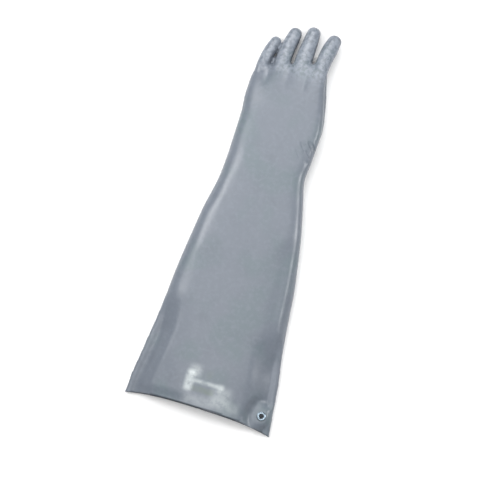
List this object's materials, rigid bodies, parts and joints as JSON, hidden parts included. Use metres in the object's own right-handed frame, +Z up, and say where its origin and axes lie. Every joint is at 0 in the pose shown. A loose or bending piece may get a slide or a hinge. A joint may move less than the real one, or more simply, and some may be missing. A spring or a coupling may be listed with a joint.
{
  "type": "solvent resistant glove",
  "caption": "Long left-hand dipped rubber gauntlet glove lying palm down, thumb under the palm, wide open hem with a metal tie eyelet.",
  "frame": {"origin": "on the surface the glove lies on, under the middle of its bounding box", "axes": "+Y from the hem towards the fingertips, +X to the thumb side, +Z up, off the surface, on the side of the back of the hand"},
  "size_m": [0.2472, 0.661, 0.0515],
  "materials": {
    "rubber": "matte blue-grey dipped neoprene with a faint sheen and soft mottling",
    "eyelet_metal": "dull pale nickel plate"
  },
  "bodies": {
    "root": {"glove_shell": "rubber", "eyelet": "eyelet_metal", "eyelet_washer": "eyelet_metal"}
  },
  "joints": []
}
